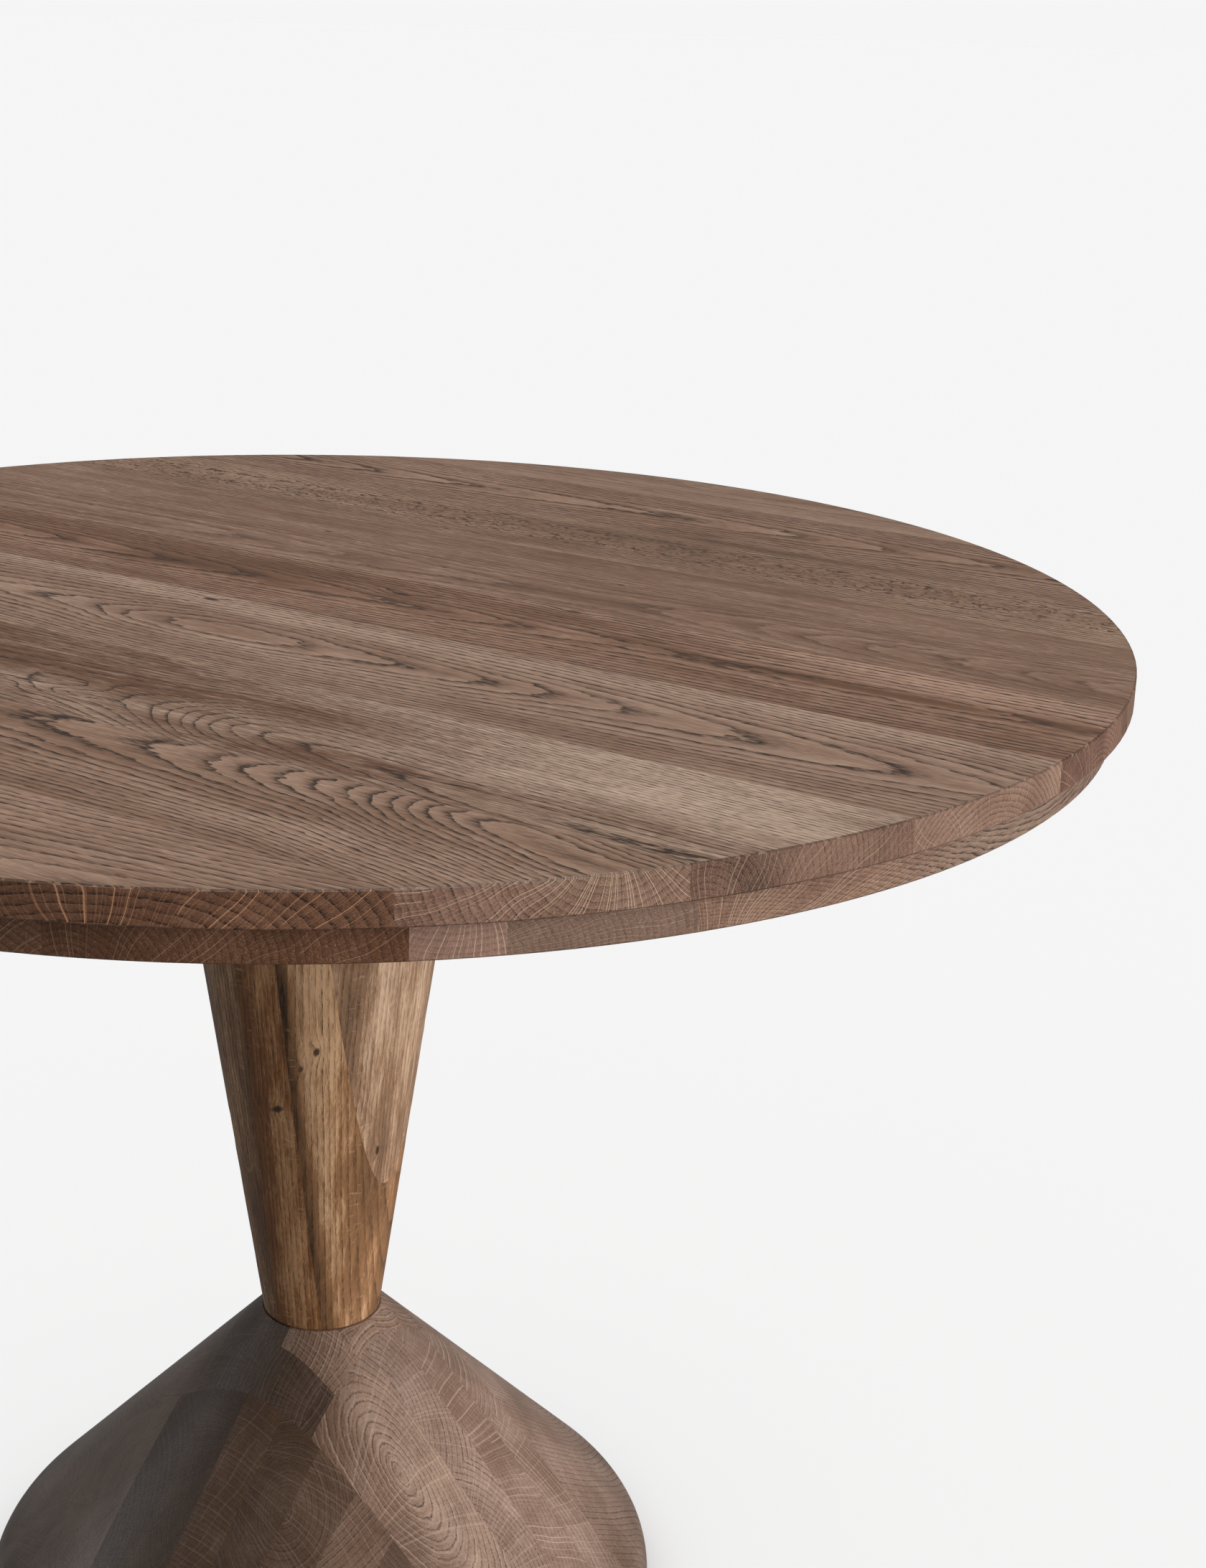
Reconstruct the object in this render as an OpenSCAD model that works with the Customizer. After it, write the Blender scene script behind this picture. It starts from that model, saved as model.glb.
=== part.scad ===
// Round pedestal dining table: a two-layer oak top on a turned hourglass pedestal.
// Millimetres, +Z up. The origin is on the floor, on the table's axis.
// The planks of the top run along X, and the strips of the layer under it run along Y.

/* [Tabletop] */
// Diameter of the upper layer
top_d = 1066; // [960:2:1200]
// Height of the table
table_h = 762; // [720:1:780]
// Thickness of the upper layer
top_t = 20; // [18:1:28]
// Thickness of the lower layer
sub_t = 22; // [20:1:30]
// How far the lower layer stands back from the edge
sub_inset = 12; // [4:1:30]
// Width of the eased edges
arris = 1; // [0.5:0.5:3]

/* [Pedestal] */
// Radius of the column under the tabletop
column_top_r = 110; // [105:1:115]
// Radius of the column at the waist
waist_r = 42; // [38:1:48]
// Height of the waist above the floor
waist_z = 240; // [230:1:260]
// Radius of the base
base_r = 245; // [236:1:250]
// Slope of the base's cone, down from level
base_slope = 45.5; // [44:0.5:46]
// Radius of the base's rounded shoulder
shoulder_r = 38; // [30:1:44]
// Step and shadow groove at the waist joint
waist_step = 1; // [0.5:0.5:2]

/* [Boards] */
// Thickness of the boards that the column and the base are glued from
board_t = 32; // [31:1:33]
// Side of the first glue joint of the column, from the axis
column_joint_x = 26; // [25:1:28]
// Middle glue joint of the base's north and south blocks, from the axis
block_joint_x = -3; // [-6:1:6]
// Half width of the base's core
core_x = 53; // [52:1:56]

/* [Steelwork] */
// Radius of the mounting plate
plate_r = 170; // [165:1:180]
// Thickness of the mounting plate
plate_t = 6; // [5:1:8]
// Thread of the tie rod
rod_d = 16; // [12:2:16]
// Thread of the bolts, screws and levelling stems
bolt_d = 8; // [6:1:8]
// Number of bolts up into the tabletop
bolt_count = 8; // [6:2:12]
// Number of screws down into the column
screw_count = 6; // [4:1:8]

/* [Levelling feet] */
// Gap between the base and the floor
foot_gap = 5; // [4:1:8]
// Radius of a glide pad
pad_r = 16; // [14:1:20]
// Distance of the feet from the axis
foot_ring_r = 190; // [185:1:200]
// Length of a levelling stem
stem_l = 42; // [36:1:46]

/* [Hidden] */
// Overcut of bores, clearance of holes, and the gap of a thread in its sleeve.
eps = 0.5;
hole_gap = 0.5;
fit_gap = 0.05;
$fn = 180;

top_r = top_d / 2;
sub_r = top_r - sub_inset;
top_z = table_h - top_t;
sub_z = top_z - sub_t;

// Glue joints of the upper layer along Y and of the lower layer along X, as shares of the layer's radius.
plank_joints = [-0.741, -0.533, -0.296, -0.036, 0.179, 0.44, 0.64, 0.855];
strip_joints = [-0.72, -0.45, -0.19, 0.08, 0.41, 0.683, 0.746, 0.858];
plank_edges = concat([-1.1], plank_joints, [1.1]) * top_r;
strip_edges = concat([-1.1], strip_joints, [1.1]) * sub_r;
plank_count = len(plank_joints) + 1;
strip_count = len(strip_joints) + 1;

// Glue joints of the column along X: seven boards, counted from the one joint that is given.
stave_count = 7;
stave_edges = [for (i = [0:stave_count])
    i == 0 ? -2 * column_top_r : i == stave_count ? 2 * column_top_r : column_joint_x + (i - 4) * board_t];

// Glue joints of the base's blocks: rows of boards east and west of the core, columns north and south.
block_count = 4;
row_edges = [-2.5, -0.5, 0.5, 1.5, 2.5] * board_t;
col_width = 2 * board_t;
col_edges = [-2 * base_r, block_joint_x - col_width, block_joint_x, block_joint_x + col_width, 2 * base_r];
core_y = row_edges[block_count];

cone_h = (base_r - waist_r - waist_step) * tan(base_slope);
shoulder_z = waist_z - cone_h;
shoulder_run = shoulder_r * tan((90 - base_slope) / 2);
shoulder_cz = shoulder_z - shoulder_run;

plate_z = sub_z;
thread_r = bolt_d / 2;
plate_hole_r = thread_r + hole_gap;
bolt_ring_r = plate_r - 25;
screw_ring_r = 72;
screw_l = 80;
screw_head_r = bolt_d;
screw_head_h = bolt_d / 2;
screw_core_r = thread_r - 0.6;
bolt_head_r = bolt_d * 0.9;
bolt_head_h = bolt_d / 2;
bolt_socket_af = bolt_d * 0.6;
bolt_socket_h = bolt_head_h * 0.6;
insert_r = thread_r + 2;

// Wood of the lower layer left over the inserts and over the rod's upper nut.
pocket_roof = 2;
insert_l = sub_t - plate_t - pocket_roof;
nut_pocket_h = sub_t - pocket_roof;
bolt_l = plate_t + insert_l - 1;

rod_r = rod_d / 2;
nut_af = 1.5 * rod_d;
nut_h = 0.8 * rod_d;
rod_end = 6;
rod_hole_r = rod_r + hole_gap;
nut_pocket_r = nut_af * 0.62;
clamp_half = 40;
clamp_t = 8;
pocket_half = clamp_half + 2;
pocket_h = 38;
clamp_z = foot_gap + pocket_h;
washer_r = rod_r * 2;
washer_t = 3;
rod_top_z = plate_z + plate_t + nut_h;
rod_bottom_z = clamp_z - washer_t - nut_h - rod_end;

dowel_r = 5;
dowel_l = 60;
dowel_x = 10;
dowel_y = 24;

pad_h = foot_gap - 0.2;
pad_arris = 1;
pad_socket_h = 3;
socket_gap = 0.3;
stem_ball_r = 6;
foot_insert_l = 20;
foot_bore_l = stem_l + 8;
foot_xy = foot_ring_r * cos(45);
foot_places = [[foot_xy, -foot_xy], [foot_xy, foot_xy], [-foot_xy, foot_xy], [-foot_xy, -foot_xy]];

oak_top = "#7f6353";
oak_sub = "#6b5040";
oak_column = "#94704f";
oak_base = "#6a5346";
zinc = "#b4b6b8";
powder_black = "#26272a";

// A flat disc with eased edges above and below, as the outline of a turned layer.
module eased_disc(r, t) {
    cylinder(r1 = r - arris, r2 = r, h = arris);
    translate([0, 0, arris]) cylinder(r = r, h = t - 2 * arris);
    translate([0, 0, t - arris]) cylinder(r1 = r, r2 = r - arris, h = arris);
}

// The stretch of space from x0 to x1 and y0 to y1, over a range of heights.
module post(x0, x1, y0, y1, z0, z1) {
    translate([x0, y0, z0]) cube([x1 - x0, y1 - y0, z1 - z0]);
}

// Copies of the children round the axis.
module ring(count, r, turn = 0) {
    for (i = [0:count - 1]) rotate(turn + i * 360 / count) translate([r, 0, 0]) children();
}

module hex_prism(af, h) {
    cylinder(r = af / 2 / cos(30), h = h, $fn = 6);
}

// Plank i of the upper layer.
module top_plank(i) {
    color(oak_top) intersection() {
        translate([0, 0, top_z]) eased_disc(top_r, top_t);
        post(-top_r - eps, top_r + eps, plank_edges[i - 1], plank_edges[i], top_z - eps, table_h + eps);
    }
}

// Strip i of the lower layer, with its share of the mounting plate's pocket and the holes above it.
module subtop_strip(i) {
    color(oak_sub) difference() {
        intersection() {
            translate([0, 0, sub_z]) eased_disc(sub_r, sub_t);
            post(strip_edges[i - 1], strip_edges[i], -sub_r - eps, sub_r + eps, sub_z - eps, top_z + eps);
        }
        translate([0, 0, sub_z - eps]) cylinder(r = plate_r + eps, h = plate_t + eps);
        translate([0, 0, sub_z]) cylinder(r = nut_pocket_r, h = nut_pocket_h);
        translate([0, 0, sub_z]) ring(bolt_count, bolt_ring_r)
            cylinder(r = insert_r, h = plate_t + insert_l);
    }
}

// The whole column, bored for the tie rod, the dowels and the screws.
module column_blank() {
    difference() {
        union() {
            translate([0, 0, waist_z]) cylinder(r1 = waist_r - waist_step, r2 = waist_r, h = waist_step);
            translate([0, 0, waist_z + waist_step])
                cylinder(r1 = waist_r, r2 = column_top_r, h = sub_z - waist_z - waist_step);
        }
        translate([0, 0, waist_z - eps]) cylinder(r = rod_hole_r, h = sub_z - waist_z + 2 * eps);
        waist_dowels_at(dowel_r);
        translate([0, 0, sub_z - screw_l]) ring(screw_count, screw_ring_r, 30)
            cylinder(r = screw_core_r, h = screw_l + eps);
    }
}

// Upright board i of the column.
module column_stave(i) {
    color(oak_column) intersection() {
        column_blank();
        post(stave_edges[i - 1], stave_edges[i], -column_top_r - eps, column_top_r + eps,
             waist_z - eps, sub_z + eps);
    }
}

// Half outline of the base: cone, rounded shoulder, short upright side.
module base_outline() {
    neck_r = waist_r + waist_step;
    shoulder_cr = base_r - shoulder_r;
    tangent_r = shoulder_cr + shoulder_r * sin(base_slope);
    tangent_z = shoulder_cz + shoulder_r * cos(base_slope);
    polygon([[0, foot_gap], [base_r - arris, foot_gap], [base_r, foot_gap + arris], [base_r, shoulder_cz],
             [shoulder_cr, shoulder_cz], [tangent_r, tangent_z], [neck_r, waist_z], [0, waist_z]]);
    intersection() {
        translate([shoulder_cr, shoulder_cz]) circle(shoulder_r);
        translate([shoulder_cr - eps, shoulder_cz]) square([2 * shoulder_r, 2 * shoulder_r]);
    }
}

// The whole base, with the clamp pocket, the rod and dowel bores and the four foot bores.
module base_blank() {
    difference() {
        rotate_extrude() base_outline();
        post(-pocket_half, pocket_half, -pocket_half, pocket_half, foot_gap - eps, clamp_z + clamp_t);
        translate([0, 0, foot_gap]) cylinder(r = rod_hole_r, h = waist_z);
        waist_dowels_at(dowel_r);
        for (p = foot_places) translate([p[0], p[1], foot_gap - eps]) {
            cylinder(r = insert_r, h = foot_insert_l + eps);
            cylinder(r = thread_r + eps, h = foot_bore_l);
        }
    }
}

module base_part(x0, x1, y0, y1) {
    color(oak_base) intersection() {
        base_blank();
        post(x0, x1, y0, y1, 0, waist_z + eps);
    }
}

module base_core() {
    base_part(-core_x, core_x, -core_y, core_y);
}

// Block i on one side of the core: rows on the east and west, columns on the north and south.
module base_block(side, i) {
    far = base_r + eps;
    if (side == "east") base_part(core_x, far, row_edges[i - 1], row_edges[i]);
    if (side == "west") base_part(-far, -core_x, -row_edges[i], -row_edges[i - 1]);
    if (side == "south") base_part(col_edges[i - 1], col_edges[i], -far, -core_y);
    if (side == "north") base_part(-col_edges[i], -col_edges[i - 1], core_y, far);
}

// Steel disc let into the underside of the tabletop.
module mounting_plate() {
    color(powder_black) difference() {
        translate([0, 0, plate_z]) cylinder(r = plate_r, h = plate_t);
        translate([0, 0, plate_z - eps]) cylinder(r = rod_hole_r, h = plate_t + 2 * eps);
        translate([0, 0, plate_z - eps]) ring(bolt_count, bolt_ring_r)
            cylinder(r = plate_hole_r, h = plate_t + 2 * eps);
        translate([0, 0, plate_z]) ring(screw_count, screw_ring_r, 30) {
            translate([0, 0, -eps]) cylinder(r = plate_hole_r, h = plate_t + 2 * eps);
            translate([0, 0, plate_t - screw_head_h])
                cylinder(r1 = plate_hole_r, r2 = screw_head_r + hole_gap, h = screw_head_h);
        }
    }
}

// Countersunk screws from the plate down into the column.
module plate_screws() {
    head_z = plate_z + plate_t;
    color(zinc) ring(screw_count, screw_ring_r, 30) {
        translate([0, 0, head_z - screw_head_h])
            cylinder(r1 = thread_r, r2 = screw_head_r, h = screw_head_h);
        translate([0, 0, plate_z]) cylinder(r = thread_r, h = plate_t - screw_head_h);
        translate([0, 0, plate_z - screw_l]) cylinder(r = screw_core_r, h = screw_l);
    }
}

// Bolts up through the plate into the tabletop.
module top_bolts() {
    color(zinc) translate([0, 0, plate_z]) ring(bolt_count, bolt_ring_r) difference() {
        union() {
            translate([0, 0, -bolt_head_h]) cylinder(r = bolt_head_r, h = bolt_head_h);
            cylinder(r = thread_r - fit_gap, h = bolt_l);
        }
        translate([0, 0, -bolt_head_h - eps]) hex_prism(bolt_socket_af, bolt_socket_h + eps);
    }
}

// Threaded sleeve, closed at neither end.
module sleeve(l) {
    difference() {
        cylinder(r = insert_r, h = l);
        translate([0, 0, -eps]) cylinder(r = thread_r, h = l + 2 * eps);
    }
}

module top_inserts() {
    color(zinc) translate([0, 0, plate_z + plate_t]) ring(bolt_count, bolt_ring_r) sleeve(insert_l);
}

module tie_rod() {
    color(zinc) translate([0, 0, rod_bottom_z]) cylinder(r = rod_r, h = rod_top_z - rod_bottom_z);
}

// Nuts at both ends of the tie rod.
module rod_nuts() {
    heights = [plate_z + plate_t, clamp_z - washer_t - nut_h];
    color(zinc) for (z = heights) translate([0, 0, z]) difference() {
        hex_prism(nut_af, nut_h);
        translate([0, 0, -eps]) cylinder(r = rod_r, h = nut_h + 2 * eps);
    }
}

module rod_washer() {
    color(zinc) translate([0, 0, clamp_z - washer_t]) difference() {
        cylinder(r = washer_r, h = washer_t);
        translate([0, 0, -eps]) cylinder(r = rod_hole_r, h = washer_t + 2 * eps);
    }
}

// Square plate up in the pocket, which spreads the rod's pull over the core.
module clamp_plate() {
    color(powder_black) difference() {
        post(-clamp_half, clamp_half, -clamp_half, clamp_half, clamp_z, clamp_z + clamp_t);
        translate([0, 0, clamp_z - eps]) cylinder(r = rod_hole_r, h = clamp_t + 2 * eps);
    }
}

// Both dowels, or their bores, across the waist joint.
module waist_dowels_at(r) {
    for (side = [-1, 1]) translate([dowel_x, side * dowel_y, waist_z - dowel_l / 2])
        cylinder(r = r, h = dowel_l);
}

module waist_dowels() {
    color(oak_column) waist_dowels_at(dowel_r);
}

module foot_inserts() {
    color(zinc) for (p = foot_places) translate([p[0], p[1], foot_gap]) sleeve(foot_insert_l);
}

// Glide pad i, with the socket that the stem's foot turns in.
module foot_pad(i) {
    p = foot_places[i - 1];
    color(powder_black) translate([p[0], p[1], 0]) difference() {
        union() {
            cylinder(r1 = pad_r - pad_arris, r2 = pad_r, h = pad_arris);
            translate([0, 0, pad_arris]) cylinder(r = pad_r, h = pad_h - pad_arris);
        }
        translate([0, 0, pad_h - pad_socket_h])
            cylinder(r = stem_ball_r + socket_gap, h = pad_socket_h + eps);
    }
}

// Levelling stem i: a disc that turns in the pad and a thread up into the base.
module foot_stem(i) {
    p = foot_places[i - 1];
    color(zinc) translate([p[0], p[1], pad_h - pad_socket_h]) {
        cylinder(r = stem_ball_r, h = pad_socket_h);
        cylinder(r = thread_r - fit_gap, h = stem_l);
    }
}

for (i = [1:plank_count]) top_plank(i);
for (i = [1:strip_count]) subtop_strip(i);
for (i = [1:stave_count]) column_stave(i);
base_core();
for (side = ["east", "north", "west", "south"], i = [1:block_count])
    base_block(side, i);
mounting_plate();
plate_screws();
top_bolts();
top_inserts();
tie_rod();
rod_nuts();
rod_washer();
clamp_plate();
waist_dowels();
foot_inserts();
for (i = [1:4]) foot_pad(i);
for (i = [1:4]) foot_stem(i);
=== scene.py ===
import math

import bpy
from mathutils import Matrix, Vector


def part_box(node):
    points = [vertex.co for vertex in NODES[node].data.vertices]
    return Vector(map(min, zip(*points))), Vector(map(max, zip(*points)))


# The looks, the studio and the camera of a round pedestal table in dark-stained oak. Every piece of the
# table is a CAD node, so this file gives them materials and adds no shape. Materials work in millimetres.

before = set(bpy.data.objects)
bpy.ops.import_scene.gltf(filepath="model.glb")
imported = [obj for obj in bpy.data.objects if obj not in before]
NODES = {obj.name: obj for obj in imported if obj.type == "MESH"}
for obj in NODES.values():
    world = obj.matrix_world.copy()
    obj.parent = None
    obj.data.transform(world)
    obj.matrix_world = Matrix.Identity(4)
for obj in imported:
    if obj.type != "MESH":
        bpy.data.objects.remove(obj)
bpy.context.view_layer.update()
MM = 1000.0

top_low, top_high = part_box("top_plank_5")
sub_low, sub_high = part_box("subtop_strip_4")
stave_low, stave_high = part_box("column_stave_4")
TOP_R = (top_high.x - top_low.x) / 2
TABLE_H = top_high.z
R = TOP_R * MM
SR = sub_high.y * MM
TH = TABLE_H * MM
BOARD = (stave_high.x - stave_low.x) * MM
CORE_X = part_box("base_core")[1].x * MM
CORE_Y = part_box("base_core")[1].y * MM


# ---------------------------------------------------------------- node arithmetic

class Val:
    """A socket that lays down a math node for each operation on it."""

    def __init__(self, tree, socket):
        self.tree = tree
        self.socket = socket

    def __add__(self, o):
        return self.tree.math("ADD", self, o)

    def __radd__(self, o):
        return self.tree.math("ADD", o, self)

    def __sub__(self, o):
        return self.tree.math("SUBTRACT", self, o)

    def __rsub__(self, o):
        return self.tree.math("SUBTRACT", o, self)

    def __mul__(self, o):
        return self.tree.math("MULTIPLY", self, o)

    def __rmul__(self, o):
        return self.tree.math("MULTIPLY", o, self)

    def __truediv__(self, o):
        return self.tree.math("DIVIDE", self, o)

    def __neg__(self):
        return self.tree.math("MULTIPLY", self, -1.0)


class Tree:
    """A node tree of a material or a group, built from short calls."""

    def __init__(self, tree):
        self.nodes = tree.nodes
        self.links = tree.links

    def put(self, value, socket):
        if isinstance(value, Val):
            self.links.new(value.socket, socket)
        else:
            socket.default_value = value

    def math(self, op, *values, clamp=False):
        n = self.nodes.new("ShaderNodeMath")
        n.operation = op
        n.use_clamp = clamp
        for v, s in zip(values, n.inputs):
            self.put(v, s)
        return Val(self, n.outputs[0])

    def clamp(self, v):
        return self.math("ADD", v, 0.0, clamp=True)

    def smooth(self, v, low, high, to_low=0.0, to_high=1.0):
        n = self.nodes.new("ShaderNodeMapRange")
        n.interpolation_type = "SMOOTHSTEP"
        for value, key in ((v, 0), (low, 1), (high, 2), (to_low, 3), (to_high, 4)):
            self.put(value, n.inputs[key])
        return Val(self, n.outputs[0])

    def vector(self, x, y, z):
        n = self.nodes.new("ShaderNodeCombineXYZ")
        for v, s in zip((x, y, z), n.inputs):
            self.put(v, s)
        return Val(self, n.outputs[0])

    def noise(self, x, y, z, detail=0.0, rough=0.5):
        n = self.nodes.new("ShaderNodeTexNoise")
        n.inputs["Scale"].default_value = 1.0
        n.inputs["Detail"].default_value = detail
        n.inputs["Roughness"].default_value = rough
        self.links.new(self.vector(x, y, z).socket, n.inputs["Vector"])
        return Val(self, n.outputs[0])

    def random(self, x, y=0.0, z=0.0):
        """Three random numbers from 0 to 1 for whole numbers x, y and z."""
        n = self.nodes.new("ShaderNodeTexWhiteNoise")
        n.noise_dimensions = "3D"
        self.links.new(self.vector(x, y, z).socket, n.inputs["Vector"])
        return self.split(Val(self, n.outputs["Color"]))

    def split(self, v):
        n = self.nodes.new("ShaderNodeSeparateXYZ")
        self.links.new(v.socket, n.inputs[0])
        return [Val(self, s) for s in n.outputs]

    def curve(self, v, points, low, high, to_low, to_high):
        """A smooth curve through points, for v from low to high and results from to_low to to_high."""
        share = (v - low) / (high - low)
        n = self.nodes.new("ShaderNodeFloatCurve")
        spline = n.mapping.curves[0]
        scaled = sorted(((x - low) / (high - low), (y - to_low) / (to_high - to_low)) for x, y in points)
        spline.points[0].location = scaled[0]
        spline.points[1].location = scaled[-1]
        for x, y in scaled[1:-1]:
            spline.points.new(x, y)
        n.mapping.update()
        self.put(share, n.inputs["Value"])
        return Val(self, n.outputs[0]) * (to_high - to_low) + to_low

    def mix(self, factor, a, b, blend="MIX"):
        n = self.nodes.new("ShaderNodeMix")
        n.data_type = "RGBA"
        n.blend_type = blend
        n.clamp_factor = True
        self.put(factor, n.inputs[0])
        self.put(a, n.inputs[6])
        self.put(b, n.inputs[7])
        return Val(self, n.outputs[2])

    def tint(self, colour, factor):
        """The colour times a number."""
        n = self.nodes.new("ShaderNodeVectorMath")
        n.operation = "SCALE"
        self.put(colour if isinstance(colour, Val) else colour[:3], n.inputs[0])
        self.put(factor, n.inputs["Scale"])
        return Val(self, n.outputs[0])

    def place(self):
        """Position in millimetres and the surface's direction, in the part's frame."""
        n = self.nodes.new("ShaderNodeTexCoord")
        return ([v * MM for v in self.split(Val(self, n.outputs["Object"]))],
                self.split(Val(self, n.outputs["Normal"])))

    def shader(self):
        return next(n for n in self.nodes if n.type == "BSDF_PRINCIPLED")

    def finish(self, colour, rough, height, distance, spec=0.5, metallic=0.0):
        """The surface's shader, with a bump that is distance millimetres deep."""
        bsdf = self.shader()
        self.put(colour, bsdf.inputs["Base Color"])
        self.put(rough, bsdf.inputs["Roughness"])
        bsdf.inputs["Specular IOR Level"].default_value = spec
        bsdf.inputs["Metallic"].default_value = metallic
        n = self.nodes.new("ShaderNodeBump")
        n.inputs["Strength"].default_value = 1.0
        n.inputs["Distance"].default_value = distance / MM
        self.put(height, n.inputs["Height"])
        self.links.new(n.outputs[0], bsdf.inputs["Normal"])


def blank(name):
    """A new material and its tree."""
    material = bpy.data.materials.new(name)
    material.use_nodes = True
    return material, Tree(material.node_tree)


def linear(r, g, b):
    """An sRGB colour, 0 to 255, as linear values for a socket."""
    def one(c):
        c /= 255
        return c / 12.92 if c <= 0.04045 else ((c + 0.055) / 1.055) ** 2.4
    return (one(r), one(g), one(b), 1.0)


# ---------------------------------------------------------------- oak

# The distance from the tree's centre at which rays stand a ray_gap apart, in millimetres.
REACH = 45.0
# What the studio's sheen adds to the oak's linear colour.
VEIL = 0.019

# The oak's numbers. Lengths are in millimetres, the others are shares or factors.
NUMBERS = dict(
    # Growth rings: their spacing, how flat the tree's section is, their waviness from slow to fine, the
    # sharpness of a ring's dark side, how dark and how pale they are, and how much of that end grain shows.
    ring=3.4, squash=1.0, wave=1.6, jag=0.9, hair=0.4, sharp=4.2, ring_dark=1.3, ring_pale=0.0, end_ring=0.5,
    # Rays: how much they show on a face and on end grain, their spacing and width, how far behind the tree's
    # centre they start, and how much they bend.
    ray_face=0.10, ray_end=0.7, ray_gap=4.6, ray_wide=0.34, ray_far=0.0, ray_bend=0.12,
    # Pores and stain: how dark the pores are, how much tone, veins and blotches vary, how much a ring
    # lightens across, pale flecks and flakes, how much longer the figure is drawn, and the polish.
    pore_dark=0.7, tone=1.2, vein=0.45, mottle=0.6, late=0.3, fleck=0.25, flakes=0.0, stretch=1.0, gloss=0.0)
COLOURS = dict(
    light=(160, 134, 116), mid=(132, 105, 88), dark=(50, 36, 28), ray=(214, 186, 160), pale=(232, 204, 174))
KNOT_HEART = (40, 28, 22)
PLACES = ("along", "across", "deep", "facing", "shift", "core", "own", "seed")


def stain(colour):
    """The albedo that shows as a colour under the studio's light, whose sheen adds a little grey."""
    return tuple(max(0.004, v - VEIL) for v in linear(*colour)[:3]) + (1.0,)


def ribbons(t, angle, a, r, gap, tall, wide, seed):
    """Rays: thin sheets that run out from the tree's centre, gap apart at REACH, tall along the grain."""
    s = angle * REACH / gap
    j = t.math("FLOOR", s)
    at, shift, _ = t.random(j, seed)
    exists = t.random(j, t.math("FLOOR", a / tall + shift), seed + 7.0)[0]
    off = t.math("ABSOLUTE", s - j - (at * 0.6 + 0.2)) * r * gap / REACH
    return t.smooth(off, wide * 0.2, wide * 0.8, 1.0, 0.0) * t.smooth(exists, 0.15, 0.9, 0.1, 1.0)


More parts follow.
